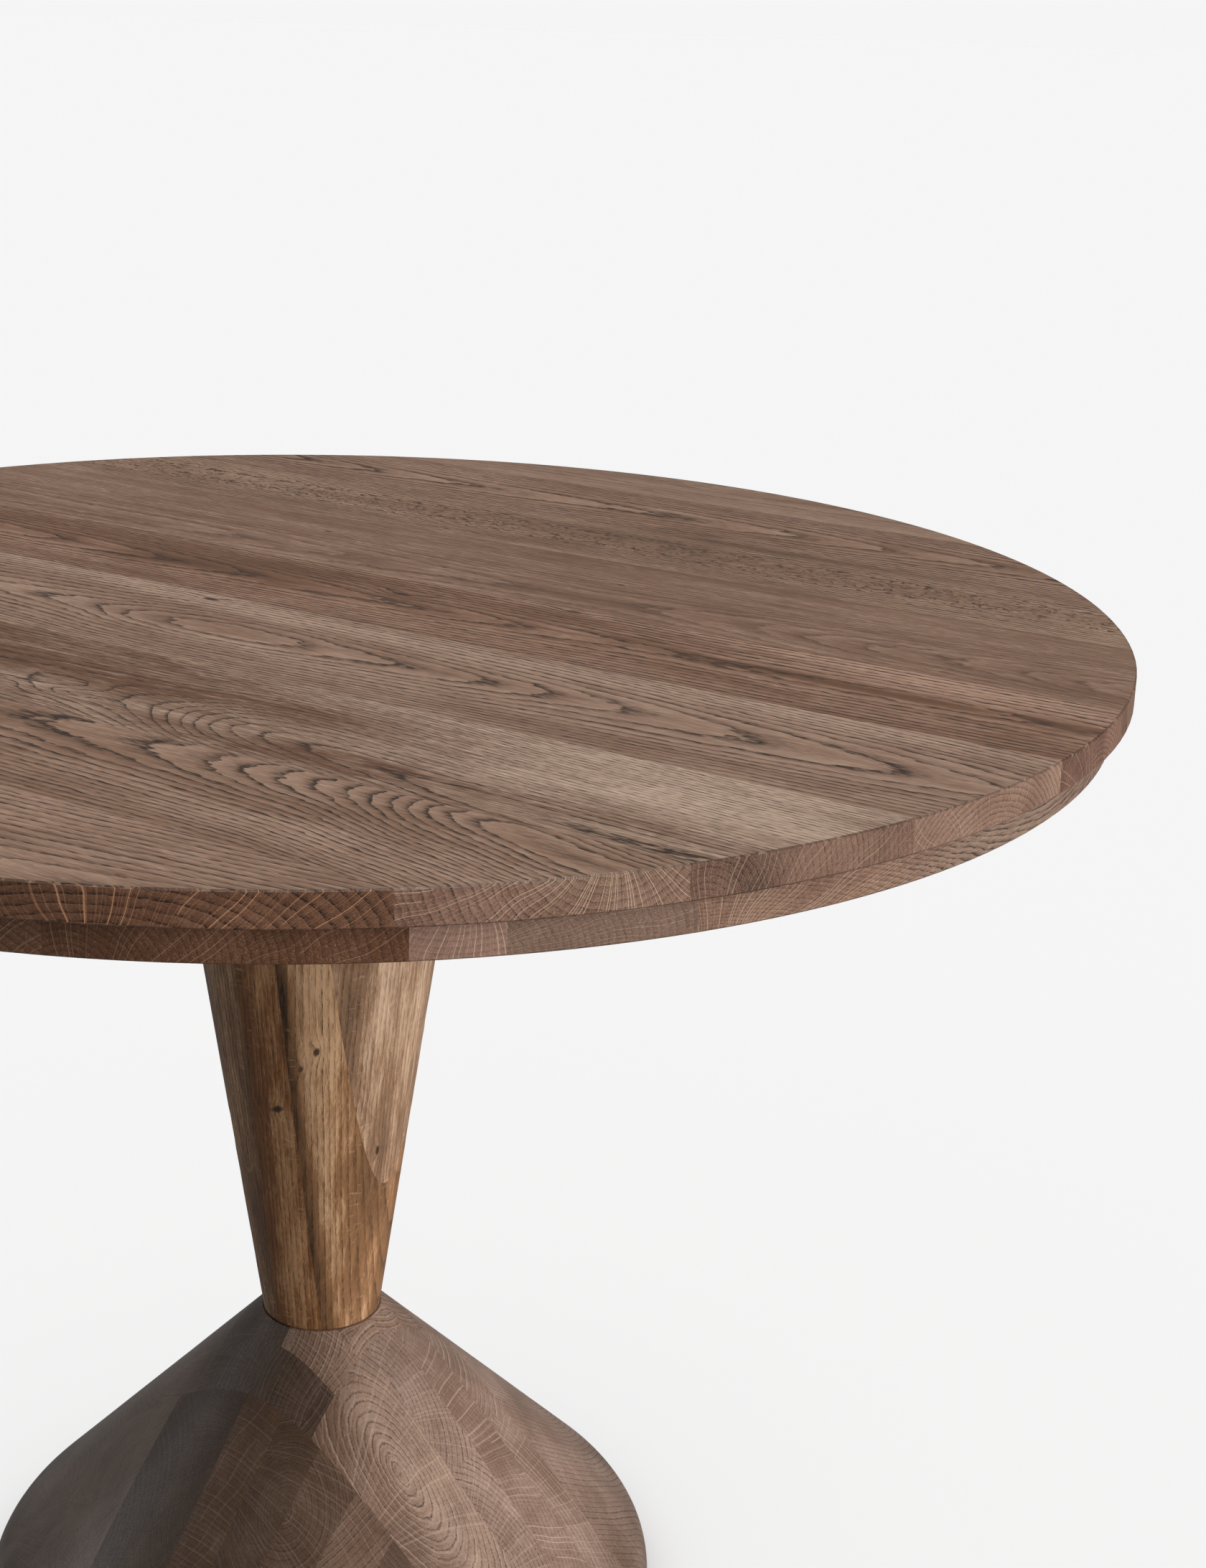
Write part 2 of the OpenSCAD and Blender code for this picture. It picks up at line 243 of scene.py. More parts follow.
def oak_group():
    """The oak's pattern as one node group, round a tree's centre at across 0 and deep 0."""
    group = bpy.data.node_groups.new("oak", "ShaderNodeTree")
    sockets = [(name, "INPUT", "NodeSocketFloat") for name in PLACES + tuple(NUMBERS)]
    sockets += [(name, "INPUT", "NodeSocketColor") for name in tuple(COLOURS) + ("end_tint",)]
    sockets += [("across_", "INPUT", "NodeSocketFloat"), ("deep_", "INPUT", "NodeSocketFloat")]
    sockets += [("colour", "OUTPUT", "NodeSocketColor"), ("rough", "OUTPUT", "NodeSocketFloat"),
                ("height", "OUTPUT", "NodeSocketFloat")]
    for name, way, kind in sockets:
        group.interface.new_socket(name, in_out=way, socket_type=kind)
    t = Tree(group)
    source = t.nodes.new("NodeGroupInput")
    sink = t.nodes.new("NodeGroupOutput")
    o = {s.name: Val(t, s) for s in source.outputs if s.name}
    a, b, c, k = o["along"], o["across_"], o["deep_"], o["seed"] * 37.7
    drawn = a / o["stretch"]

    def streak(length, width, run=drawn, shift=0.0, **extra):
        """Noise whose patches are about length along the grain and width across it, in millimetres."""
        start = run / length + k
        if shift:
            start = start + shift
        return t.noise(start, b / width, c / width, **extra)

    fibre = streak(24, 0.9, detail=2.0, rough=0.6)
    vein = streak(120, 4.5, detail=1.0)
    drift = streak(130, 42)
    jag = streak(17, 5.5, detail=1.0)
    tone = streak(300, 34, detail=1.0)
    blotch = streak(60, 22, detail=3.0)
    pore = t.smooth(streak(6, 0.6, run=a), 0.50, 0.64)
    dash = t.smooth(streak(8, 1.6, run=a, shift=3.0), 0.40, 0.58)

    # Growth rings: whole counts them out from the tree's centre and f runs from 0 to 1 across each.
    db = o["across"] * o["squash"]
    dc = o["deep"]
    r = (t.math("SQRT", db * db + dc * dc) + (drift - 0.5) * 2 * o["wave"] + (jag - 0.5) * 2 * o["jag"]
         + (fibre - 0.5) * 2 * o["hair"] + o["shift"])
    q = r / o["ring"] + t.noise(r / 21 + k, 0.0, 0.0) * 1.6
    whole = t.math("FLOOR", q)
    f = q - whole
    chance = t.random(whole, o["seed"])[0]
    early = t.math("MAXIMUM", t.math("POWER", 1.0 - f, o["sharp"]), t.smooth(f, 0.93, 1.0))
    early = early * (chance * 0.5 + 0.5)

    # Rays: wide ones and fine ones, seen end on where the surface faces along the grain.
    far = dc + o["ray_far"]
    angle = t.math("ARCTAN2", db, far) + (t.noise(r / 26 + k, a / 45, 0.0) - 0.5) * o["ray_bend"]
    far = t.math("SQRT", db * db + far * far)
    ray = ribbons(t, angle, a, far, o["ray_gap"], 45.0, o["ray_wide"], o["seed"])
    fine = ribbons(t, angle, a, far, o["ray_gap"] * 0.31, 14.0, o["ray_wide"] * 0.5, o["seed"] + 0.5)
    ray = t.math("MAXIMUM", ray, fine * 0.4)
    end = t.smooth(o["facing"] * o["facing"], 0.01, 0.12)

    # Stain: share is 0 for the middle colour and 1 for the light one, and darkens the middle one below 0.
    share = ((tone - 0.5) * o["tone"] + (f - 0.5) * o["late"] + (fibre - 0.5) * 1.5
             + (vein - 0.5) * o["vein"] + (blotch - 0.5) * o["mottle"] + o["own"] + 0.28)
    colour = t.mix(t.clamp(share), o["mid"], o["light"])
    colour = t.tint(colour, t.math("MINIMUM", share, 0.0) * 0.45 + 1.0)
    fleck = t.smooth(streak(8, 0.8, run=a, shift=9.0), 0.56, 0.68) * t.clamp(share + 0.2)
    colour = t.mix(fleck * o["fleck"], colour, o["ray"])
    pale = t.smooth(f, 0.08, 0.22) * t.smooth(f, 0.3, 0.6, 1.0, 0.0)
    colour = t.mix(pale * o["ring_pale"] * (chance * 0.8 + 0.2), colour, o["ray"])
    in_rings = early * o["ring_dark"] * (dash * 0.5 + pore * 0.2 + 0.45)
    in_pores = (pore * 0.7 + dash * 0.4) * (early * 0.4 + 0.16) * o["pore_dark"]
    soot = t.clamp((in_rings + in_pores) * (end * (o["end_ring"] - 1.0) + 1.0))
    colour = t.mix(soot, colour, o["dark"])
    colour = t.mix(end, colour, t.mix(1.0, colour, o["end_tint"], "MULTIPLY"))
    glow = ray * (end * (o["ray_end"] - o["ray_face"]) + o["ray_face"])
    colour = t.mix(glow, colour, t.mix(end, o["ray"], o["pale"]))
    flake = t.smooth(streak(1.7, 8, run=a, detail=1.0), 0.62, 0.72)
    flake = flake * t.smooth(streak(60, 16, run=a), 0.5, 0.62)
    colour = t.mix(flake * o["flakes"], colour, o["pale"])
    colour = t.mix(t.clamp(o["core"]), colour, linear(*KNOT_HEART))
    t.put(colour, sink.inputs["colour"])
    t.put(t.clamp(soot * 0.16 + (blotch - 0.5) * 0.12 + 0.47 - o["gloss"]), sink.inputs["rough"])
    t.put(fibre * 0.25 - soot * 0.75 - pore * 0.3, sink.inputs["height"])
    return group


OAK = oak_group()


def arris_top(t, xyz):
    """1 on the eased upper edge of the tabletop, 0 elsewhere."""
    r = t.math("SQRT", xyz[0] * xyz[0] + xyz[1] * xyz[1])
    return t.smooth(r, R - 1.3, R - 0.8) * t.smooth(xyz[2], TH - 1.2, TH - 0.7)


def oak(name, axes, pith, seed, knots=(), zones=(), curl=0.0, band=None, gain=1.0, own=0.0, arris=False,
        cast=None, end_tint=(0.78, 0.66, 0.60), **changes):
    """Oak whose grain runs along the first of axes, the coordinates along, across and deep.

    pith gives the tree's centre across and deep. own lightens and gain multiplies. These four are numbers or
    functions of the tree and the three coordinates. knots are (along, across, size, bend of the rings,
    darkness) and zones are (along, across, reach along, reach across, lightening). curl makes the rings wild
    in the band (across, half width). The result is multiplied by the colour cast(t, x, y, z).
    """
    material, t = blank(name)
    xyz, normal = t.place()
    a, b, c = (xyz[i] for i in axes)

    def at(value):
        return value(t, a, b, c) if callable(value) else value

    def bump(za, zb, ra, rb):
        da = (a - za) / ra
        db = (b - zb) / rb
        return t.math("EXPONENT", -(da * da + db * db))

    shift, core, share = 0.0, 0.0, at(own)
    if curl:
        wild = t.noise(a / 9 + seed * 37.7, b / 7, c / 7, detail=1.0) - 0.5
        shift = wild * t.smooth(t.math("ABSOLUTE", b - band[0]), 0.0, band[1], 1.0, 0.0) * (2 * curl)
    for ka, kb, size, lift, dark in knots:
        near = bump(ka, kb, size * 2.6, size)
        shift = near * lift + shift
        core = t.smooth(near, 0.80, 0.97) * dark + core
    for za, zb, ra, rb, amount in zones:
        share = bump(za, zb, ra, rb) * amount + share
    n = t.nodes.new("ShaderNodeGroup")
    n.node_tree = OAK
    given = dict(NUMBERS, along=a, across=b - at(pith[0]), deep=c - at(pith[1]), facing=normal[axes[0]],
                 shift=shift, core=core, own=share, seed=float(seed), across_=b, deep_=c)
    given.update({key: value for key, value in changes.items() if key in NUMBERS})
    for key, value in given.items():
        t.put(value, n.inputs[key])
    colours = dict(COLOURS)
    colours.update({key: value for key, value in changes.items() if key in COLOURS})
    for key, value in colours.items():
        n.inputs[key].default_value = stain(value) if key in ("light", "mid") else linear(*value)
    n.inputs["end_tint"].default_value = end_tint + (1.0,)
    colour = Val(t, n.outputs["colour"])
    if arris:
        rim = arris_top(t, xyz)
        rubbed = t.smooth(t.noise(xyz[0] / 6, xyz[1] / 6, xyz[2] / 6, detail=2.0), 0.56, 0.68)
        # Painted shade: the eased edge is darkened by half, against the light its chamfer catches. The pale
        # flecks on it are wear.
        colour = t.tint(colour, 1.0 - rim * 0.5)
        colour = t.mix(rim * rubbed * 0.2, colour, linear(*COLOURS["ray"]))
    if callable(gain) or gain != 1.0:
        colour = t.tint(colour, at(gain))
    # Painted shade: the colour is multiplied by what cast gives.
    if cast:
        colour = t.mix(1.0, colour, cast(t, *xyz), "MULTIPLY")
    t.finish(colour, Val(t, n.outputs["rough"]), Val(t, n.outputs["height"]), 0.12, 0.35)
    return material


def dress(node, material):
    """Give a CAD node its material."""
    for slot in NODES[node].material_slots:
        slot.material = material


# How far over or under a plank's face its tree's centre may lie.
DEPTH_REACH = 100.0


def along_x(lowest, highest, *points):
    """A pith coordinate that follows a curve of the distance along the grain, given in radii of the top."""
    return lambda t, a, b, c: t.curve(a, [(u * R, v) for u, v in points], -R, R, lowest, highest)


def side(*points):
    """The tree's centre across a plank, given along and across in radii of the top."""
    lowest = -R if points[0][1] < 0 else 0
    return along_x(lowest, lowest + R, *((u, v * R) for u, v in points))


def depth(*points):
    """The tree's centre over or under a plank's face, along in radii of the top and up in millimetres."""
    lowest = TH if points[0][1] > 0 else TH - DEPTH_REACH
    return along_x(lowest, lowest + DEPTH_REACH, *((u, TH + v) for u, v in points))


def steps(which, first, *later):
    """A value that changes at each limit of the coordinate across (1) or deep (2)."""
    def value(t, a, b, c):
        total, last = first, first
        for limit, new in later:
            total = t.math("GREATER_THAN", (a, b, c)[which], limit) * float(new - last) + total
            last = new
        return total
    return value


def spots(*rows):
    """Zones on the tabletop, given in its radii, in millimetres."""
    return tuple((u * R, v * R, ru * R, rv * R, amount) for u, v, ru, rv, amount in rows)


def knots_at(*rows):
    """Knots on the tabletop, whose places are given in its radii."""
    return tuple((u * R, v * R, size, lift, dark) for u, v, size, lift, dark in rows)


# ---------------------------------------------------------------- tabletop

PLANKS = {
    1: dict(pith=(side((-1, -0.90), (0.2, -0.9), (0.46, -0.893), (0.65, -0.88), (1, -0.86)),
                  depth((-1, -70), (0.3, -46), (0.42, -42), (0.7, -34), (1, -30))),
            ring=4.4, end_ring=0.95, ray_far=42.0, ray_gap=1.8, ray_wide=0.3, ray_end=0.7,
            mid=(132, 105, 88), light=(174, 145, 127), pale=(224, 164, 122), end_tint=(0.66, 0.50, 0.41)),
    2: dict(pith=(side((-1, -0.58), (0.2, -0.56), (0.6, -0.55), (0.85, -0.60), (1, -0.61)),
                  depth((-1, 72), (0.15, 67), (0.45, 50), (0.75, 20), (1, 50))),
            ring=3.8, jag=1.3, sharp=4.0, ring_dark=1.7, ray_gap=1.5, ray_wide=0.26,
            mid=(130, 102, 84), light=(174, 146, 128), end_tint=(0.86, 0.74, 0.74),
            zones=spots((0.62, -0.58, 0.17, 0.05, -0.25))),
    3: dict(pith=(side((-1, -0.43), (0, -0.44), (0.3, -0.46), (0.6, -0.50), (1, -0.53)),
                  depth((-1, -62), (0, -60), (0.12, -54), (0.3, -33), (0.5, -27), (1, -24))),
            ring=3.3, jag=0.6, sharp=8.0, late=0.1, pore_dark=1.6, fleck=0.4, ring_dark=1.4, ray_end=0.3,
            ray_gap=1.8, ray_far=60.0,
            mid=(107, 78, 61), light=(188, 164, 145), end_tint=(0.49, 0.36, 0.31),
            knots=knots_at((0.0, -0.44, 11, 6, 0.0), (0.04, -0.47, 8, -6, 0.0), (-0.06, -0.48, 7, 5, 0.1)),
            zones=spots((0.75, -0.36, 0.35, 0.09, 0.7), (0.35, -0.33, 0.25, 0.03, 0.3),
                        (0.05, -0.42, 0.3, 0.08, -0.2))),
    4: dict(pith=(side((-1, -0.17), (-0.1, -0.165), (0.5, -0.16), (1, -0.172)),
                  depth((-1, -62), (-0.25, -52), (-0.1, -44), (0.02, -42), (0.2, -45.5), (0.5, -54),
                        (0.8, -61), (1, -66))),
            ring=3.3, ring_dark=1.5, ray_end=0.25, ray_gap=2.4,
            mid=(131, 103, 86), light=(174, 147, 129), end_tint=(0.90, 0.82, 0.80),
            knots=knots_at((-0.12, -0.06, 7, 5, 0.9)),
            zones=spots((0.2, -0.065, 0.9, 0.03, 0.35))),
    5: dict(pith=(side((-1, 0.08), (0, 0.07), (0.5, 0.075), (1, 0.08)),
                  depth((-1, -28), (-0.4, -38), (-0.1, -44), (0.05, -45.5), (0.3, -50), (0.45, -52),
                        (0.6, -51.4), (1, -52))),
            ring=3.2, ring_dark=1.6, ray_end=0.3,
            mid=(115, 85, 67), light=(171, 138, 119), end_tint=(0.70, 0.60, 0.58),
            knots=knots_at((0.05, 0.11, 8, 4, 0.8), (0.27, 0.17, 7, 4, 0.8)),
            zones=spots((0.66, 0.08, 0.2, 0.012, -1.0), (-0.28, 0.075, 0.1, 0.015, -0.8),
                        (0.8, 0.13, 0.3, 0.05, 0.35), (0.6, 0.11, 0.35, 0.07, 0.35),
                        (-0.35, 0.11, 0.35, 0.06, -0.15), (0.0, 0.15, 0.5, 0.03, -0.25))),
    6: dict(pith=(side((-1, 0.24), (0, 0.24), (1, 0.26)),
                  depth((-1, -60), (-0.3, -64), (0.3, -70), (0.6, -62), (0.9, -52), (1, -48))),
            ring=3.0, ring_dark=0.5, pore_dark=0.5, vein=0.9,
            mid=(117, 90, 74), light=(153, 126, 109),
            knots=knots_at((0.24, 0.33, 3.5, 2, 0.8), (-0.25, 0.34, 3.5, 2, 0.8), (-0.08, 0.21, 3, 2, 0.8))),
    7: dict(pith=(0.55 * R, TH - 40),
            ring=3.2, ring_dark=1.6, curl=4.6, band=(0.54 * R, 0.1 * R),
            mid=(125, 99, 82), light=(166, 139, 119), dark=(64, 45, 35),
            zones=spots((0.25, 0.545, 0.7, 0.04, -0.5), (0.3, 0.63, 0.2, 0.012, -0.9))),
    8: dict(pith=(side((-1, 0.74), (0.2, 0.745), (1, 0.75)),
                  depth((-1, -20), (-0.5, -36), (-0.05, -42), (0.17, -45), (0.6, -56), (1, -62))),
            ring=3.6, ring_dark=1.7,
            mid=(119, 91, 74), light=(164, 135, 117)),
    9: dict(pith=(0.98 * R, TH - 120),
            ring=3.0, ring_dark=0.35, pore_dark=0.4,
            mid=(128, 103, 87), light=(158, 132, 115)),
}
for i, plank in PLANKS.items():
    dress(f"top_plank_{i}", oak(f"oak_plank_{i}", (0, 1, 2), seed=i, arris=True, **plank))

STRIPS = {
    1: dict(pith=(-0.9 * SR, TH - 70)),
    2: dict(pith=(-0.6 * SR, TH + 20)),
    3: dict(pith=(-0.35 * SR, TH - 90)),
    4: dict(pith=(-0.05 * SR, TH + 10)),
    5: dict(pith=(0.28 * SR, TH - 110), ray_end=0.45, ray_gap=1.4,
            mid=(112, 88, 72), light=(146, 120, 102), end_tint=(1.1, 0.85, 0.7)),
    6: dict(pith=(0.43 * SR, TH - 52), ring=3.4, end_ring=0.4, ray_end=0.3, ray_gap=2.0, ray_far=40.0,
            mid=(104, 80, 64), light=(136, 110, 92), end_tint=(1.10, 0.83, 0.68)),
    7: dict(pith=(0.72 * SR, TH + 20), ring_dark=0.6, ray_gap=1.7, ray_wide=0.26,
            mid=(140, 114, 101), light=(164, 138, 124), end_tint=(1.42, 1.3, 1.3)),
    8: dict(pith=(0.70 * SR, TH - 45), ring=2.4, ring_dark=0.8, end_ring=0.4, ray_end=0.22, ray_gap=1.6,
            mid=(124, 102, 91), light=(150, 128, 116), end_tint=(1.15, 1.05, 0.98)),
    9: dict(pith=(0.86 * SR, TH - 75), ring=1.9, ring_dark=1.3, ray_gap=1.1, ray_wide=0.24, ray_end=0.5,
            mid=(128, 100, 85), light=(172, 147, 129), end_tint=(0.95, 0.78, 0.7)),
}
for i, strip in STRIPS.items():
    dress(f"subtop_strip_{i}", oak(f"oak_strip_{i}", (1, 0, 2), seed=20 + i, **strip))


# ---------------------------------------------------------------- column

COLUMN = dict(
    light=(202, 162, 128), mid=(148, 109, 79), dark=(60, 38, 24), ray=(220, 186, 150),
    end_tint=(1.0, 1.0, 1.0), ring=3.6, ring_dark=0.65, wave=2.2, jag=0.5, ray_face=0.12, pore_dark=0.7,
    vein=1.8, mottle=2.4, tone=2.0, flakes=0.2, stretch=2.6)


def stave_4_tone(t, a, b, c):
    """Darker towards the board on its left."""
    return t.smooth(c, -8.0, 12.0, -0.55, 0.1)


def stave_5_tone(t, a, b, c):
    """A dark streak along its left joint, and a darker far side."""
    return t.smooth(c, 27.0, 37.0, -1.7, 0.15) + t.smooth(b, -40.0, 0.0, 0.0, -1.0)


def stave_6_tone(t, a, b, c):
    """A little lighter towards the front and darker towards the far side."""
    return t.smooth(b, -45.0, -20.0, 0.0, 0.15) + t.smooth(b, 0.0, 12.0, 0.0, -0.35)


STAVES = {
    1: dict(pith=(0.0, -240.0)),
    2: dict(pith=(20.0, -240.0), light=(159, 128, 104), mid=(114, 86, 65)),
    3: dict(pith=(-60.0, -200.0), mid=(131, 98, 72), light=(182, 145, 111)),
    4: dict(pith=(-110.0, -160.0), mid=(142, 98, 65), light=(206, 157, 114), ring_dark=0.5, gain=1.14,
            own=stave_4_tone,
            knots=((424.0, -66.0, 3.0, 3.0, 0.9), (640.0, -90.0, 5.0, 4.0, 0.6))),
    5: dict(pith=(70.0, 200.0), mid=(170, 126, 90), light=(232, 188, 147), ring=4.4, own=stave_5_tone,
            zones=((500.0, -86.0, 260.0, 8.0, 0.35),),
            knots=((472.0, -60.0, 3.5, 4.0, 0.9), (458.0, -64.0, 2.5, 3.0, 0.7))),
    6: dict(pith=(230.0, 120.0), mid=(163, 128, 101), light=(220, 187, 158), ring_dark=0.5, jag=1.6,
            own=stave_6_tone,
            zones=((520.0, -50.0, 110.0, 12.0, -0.8),),
            knots=((385.0, -14.0, 4.0, 4.0, 0.9),)),
    7: dict(pith=(230.0, 80.0), light=(155, 135, 131), mid=(117, 98, 92), ring_dark=0.4),
}
for i, stave in STAVES.items():
    look = dict(COLUMN, **stave)
    dress(f"column_stave_{i}", oak(f"oak_stave_{i}", (2, 1, 0), seed=40 + i, **look))
dress("waist_dowels", oak("oak_dowel", (2, 1, 0), (60.0, 60.0), 49, **COLUMN))


# ---------------------------------------------------------------- base

def glued(deep_from, wide_from, wide, seed):
    """Pith places and tones for boards glued side by side: each board of the block has its own."""
    def chances(t, b, c):
        return t.random(t.math("FLOOR", (c - deep_from) / BOARD), t.math("FLOOR", (b - wide_from) / wide),
                        seed * 1.0)

    def across(t, a, b, c):
        row = t.math("FLOOR", (b - wide_from) / wide)
        return (row + chances(t, b, c)[0]) * wide + wide_from

    def deep(t, a, b, c):
        row = t.math("FLOOR", (c - deep_from) / BOARD)
        chance = chances(t, b, c)[1]
        above_or_below = t.math("SIGN", chance - 0.5)
        return (row + 0.5) * BOARD + deep_from + above_or_below * 38.0 + (chance - 0.5) * 90.0

    def own(t, a, b, c):
        return (chances(t, b, c)[2] - 0.5) * 0.35

    return (across, deep), own


BASE = dict(
    light=(198, 168, 152), mid=(146, 117, 101), dark=(70, 50, 40), ray=(230, 200, 180),
    pale=(230, 200, 180), end_tint=(1.0, 1.0, 1.0), ring=3.8, ring_dark=0.9, ring_pale=0.75, end_ring=1.0,
    wave=1.6, jag=0.4, sharp=2.6, ray_end=0.3, ray_face=0.25, ray_gap=1.5, ray_wide=0.6, ray_far=30.0,
    ray_bend=0.03, pore_dark=0.5, fleck=0.0, vein=0.6, mottle=1.1, gloss=0.14)
# A darker, greyer, low-contrast copy of the base's oak for the boards on the side away from the key light:
# partly their own darker tone, partly painted shade.
DIM_BOARDS_AND_SHADE = dict(ring_dark=0.3, ring_pale=0.1, ray_end=0.08, mid=(102, 86, 76), light=(136, 119, 107))

# Board joints within the front blocks, a board apart from the blocks' own middle joint.
FRONT = [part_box("base_block_south_3")[0].x * MM + BOARD * k for k in range(6)]


def east_1_tone(t, a, b, c):
    """Darker beside the front block."""
    return t.smooth(c, -62.0, -42.0, -0.35, 0.3)


BLOCKS = {
    "east_1": dict(pith=(108.0, -50.0), squash=0.5, ring=3.0, ray_far=80.0, ray_end=0.24, ring_pale=0.5,
                   ring_dark=0.8, wave=2.6, jag=0.7, sharp=4.0, own=east_1_tone,
                   mid=(136, 107, 89), light=(196, 164, 144)),
    "east_2": dict(pith=(steps(1, 80.0, (128.0, 176.0)), -40.0), ring_pale=0.4, ray_end=0.25),
    "east_3": dict(pith=(133.0, -75.0), ray_end=0.6, ray_wide=0.5, ring_dark=0.35, ring_pale=0.1,
                   ray_gap=1.25),
    "east_4": dict(pith=(steps(1, 10.0, (114.0, 176.0)), steps(1, 0.0, (114.0, -20.0))), ring_dark=0.6,
                   ray_gap=1.2),
    "south_1": dict(DIM_BOARDS_AND_SHADE, gain=1.05),
    "south_2": dict(DIM_BOARDS_AND_SHADE, mid=(107, 87, 74), light=(142, 119, 101), gain=0.63),
    "south_3": dict(pith=(steps(2, -420.0, (FRONT[1], -117.0)), steps(2, -7.0, (FRONT[1], 59.0))),
                    gain=steps(2, 1.0, (FRONT[1], 0.64)), ray_far=80.0, ring=2.6, ring_pale=0.2,
                    ring_dark=0.45, ray_end=0.2, mid=(116, 91, 73), light=(156, 129, 109)),
    "south_4": dict(pith=(steps(2, -117.0, (FRONT[3], -60.0), (FRONT[4], -300.0), (FRONT[5], -90.0)),
                          steps(2, 59.0, (FRONT[3], -40.0), (FRONT[4], 150.0), (FRONT[5], 40.0))),
                    gain=steps(2, 0.54, (FRONT[3], 0.7), (FRONT[4], 0.56)), ray_far=80.0, ring_pale=0.35,
                    ring_dark=0.6, mid=(144, 112, 92), light=(195, 160, 139)),
    "north_1": dict(pith=(120.0, -20.0), ring_dark=0.7, ring_pale=0.3),
}


def painted_base_shade(t, x, y, z):
    """Painted shade: the base is a little darker where it meets the column and towards its rim."""
    r = t.math("SQRT", x * x + y * y)
    level = t.smooth(r, 0.10 * R, 0.22 * R, 0.74, 1.0) * t.smooth(r, 0.34 * R, 0.47 * R, 1.0, 0.66)
    return t.vector(level, level, level)


def core_boards_and_shade(t, x, y, z):
    """The core's boards and painted shade: grey at the left, dark brown at the front, warm under the column.
    """
    left = t.math("LESS_THAN", x, 5.0)
    # Painted shadow: the front, below the column, is darkened like a contact shadow.
    front = t.math("LESS_THAN", y, -53.0) * (1.0 - left)
    r = t.math("SQRT", x * x + y * y)
    # Painted shade: darker close to the column. The greyer, darker left is partly painted shade, like the
    # dim boards beside it.
    level = t.smooth(r, 0.10 * R, 0.2 * R, 0.8, 1.0) * (1.0 - front * 0.62) * (1.0 - left * 0.62)
    return t.vector(level, level * (1.0 + left * 0.04), level * (1.0 + left * 0.08))


# Each side of the base: its axes along, across and deep, and its face of the core.
SIDES = {
    "east": ((2, 0, 1), CORE_X), "west": ((2, 0, 1), -CORE_X),
    "south": ((2, 1, 0), -CORE_Y), "north": ((2, 1, 0), CORE_Y)}
# Widths of the boards that the blocks and the core are glued from.
BLOCK_W = 131.0
CORE_W = 27.0
for k, (where, (axes, face)) in enumerate(SIDES.items()):
    for i in range(1, 5):
        name = f"base_block_{where}_{i}"
        start, stop = (corner[axes[2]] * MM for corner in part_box(name))
        inner = start if abs(start) < abs(stop) else stop
        seed = 60 + 5 * k + i
        pith, own = glued(inner, face, math.copysign(BLOCK_W, face), seed)
        # The blocks are multiplied by painted shade near the column and towards the base's rim.
        look = dict(BASE, own=own, pith=pith, cast=painted_base_shade)
        # The west blocks take the dim oak, whose darker, greyer colour is partly painted shade.
        if where == "west":
            look.update(DIM_BOARDS_AND_SHADE, gain=0.95)
        look.update(BLOCKS.get(f"{where}_{i}", {}))
        dress(name, oak("oak_" + name, axes, seed=seed, **look))
pith, own = glued(-CORE_X, -CORE_Y, CORE_W, 90)
core = dict(BASE, own=own, cast=core_boards_and_shade, light=(182, 150, 128), mid=(138, 107, 88))
dress("base_core", oak("oak_base_core", (2, 1, 0), pith, 90, **core))


# ---------------------------------------------------------------- steel and nylon

def metal(name, colour, metallic, rough, grain, seed):
    """A metal, a coating or nylon, whose fine texture is grain millimetres in size."""
    material, t = blank(name)
    xyz, _ = t.place()
    fine = t.noise(xyz[0] / grain, xyz[1] / grain, xyz[2] / grain + seed, detail=3.0)
    cloud = t.noise(xyz[0] / 18, xyz[1] / 18, xyz[2] / 18 + seed, detail=2.0)
    shade = (fine - 0.5) * 0.22 + (cloud - 0.5) * 0.3 + 1.0
    shaded = t.tint(linear(*colour), shade)
    uneven = t.clamp((cloud - 0.5) * 0.25 + (fine - 0.5) * 0.15 + rough)
    t.finish(shaded, uneven, fine, 0.05, metallic=metallic)
    return material


POWDER = metal("powder_black", (44, 45, 47), 0.0, 0.58, 0.7, 3.0)
ZINC = metal("zinc_plated", (186, 188, 190), 1.0, 0.34, 0.5, 5.0)
NYLON = metal("glide_nylon", (40, 40, 42), 0.0, 0.5, 0.9, 7.0)
for node in ("mounting_plate", "clamp_plate"):
    dress(node, POWDER)
for node in ("plate_screws", "top_bolts", "top_inserts", "tie_rod", "rod_nuts", "rod_washer",
             "foot_inserts"):
    dress(node, ZINC)
for i in range(1, 5):
    dress(f"foot_pad_{i}", NYLON)
    dress(f"foot_stem_{i}", ZINC)


# ---------------------------------------------------------------- camera

# The camera looks along +Y, turned about the table's axis. Its range and rise are in radii of the top.
VIEW_TURN = math.radians(38.5)
YAW, PITCH, ROLL = math.radians(7.00), math.radians(18.21), math.radians(1.81)
RANGE, RISE = 2.970, 0.747
SENSOR, LENS = 36.0, 56.03

turn = Matrix.Rotation(VIEW_TURN, 3, "Z")
forward = Vector((math.sin(YAW) * math.cos(PITCH), math.cos(YAW) * math.cos(PITCH), -math.sin(PITCH)))
level = Vector((math.cos(YAW), -math.sin(YAW), 0.0))
above = level.cross(forward)
right = level * math.cos(ROLL) + above * math.sin(ROLL)
up = above * math.cos(ROLL) - level * math.sin(ROLL)
stance = Matrix((turn @ right, turn @ up, turn @ -forward)).transposed().to_4x4()
eye = turn @ Vector((0.0, -RANGE * TOP_R, RISE * TOP_R)) + Vector((0.0, 0.0, TABLE_H))
cam = bpy.data.objects.new("camera", bpy.data.cameras.new("camera"))
bpy.context.scene.collection.objects.link(cam)
cam.data.sensor_width = SENSOR
cam.data.lens = LENS
cam.data.clip_start = 0.05
cam.data.clip_end = 2000.0
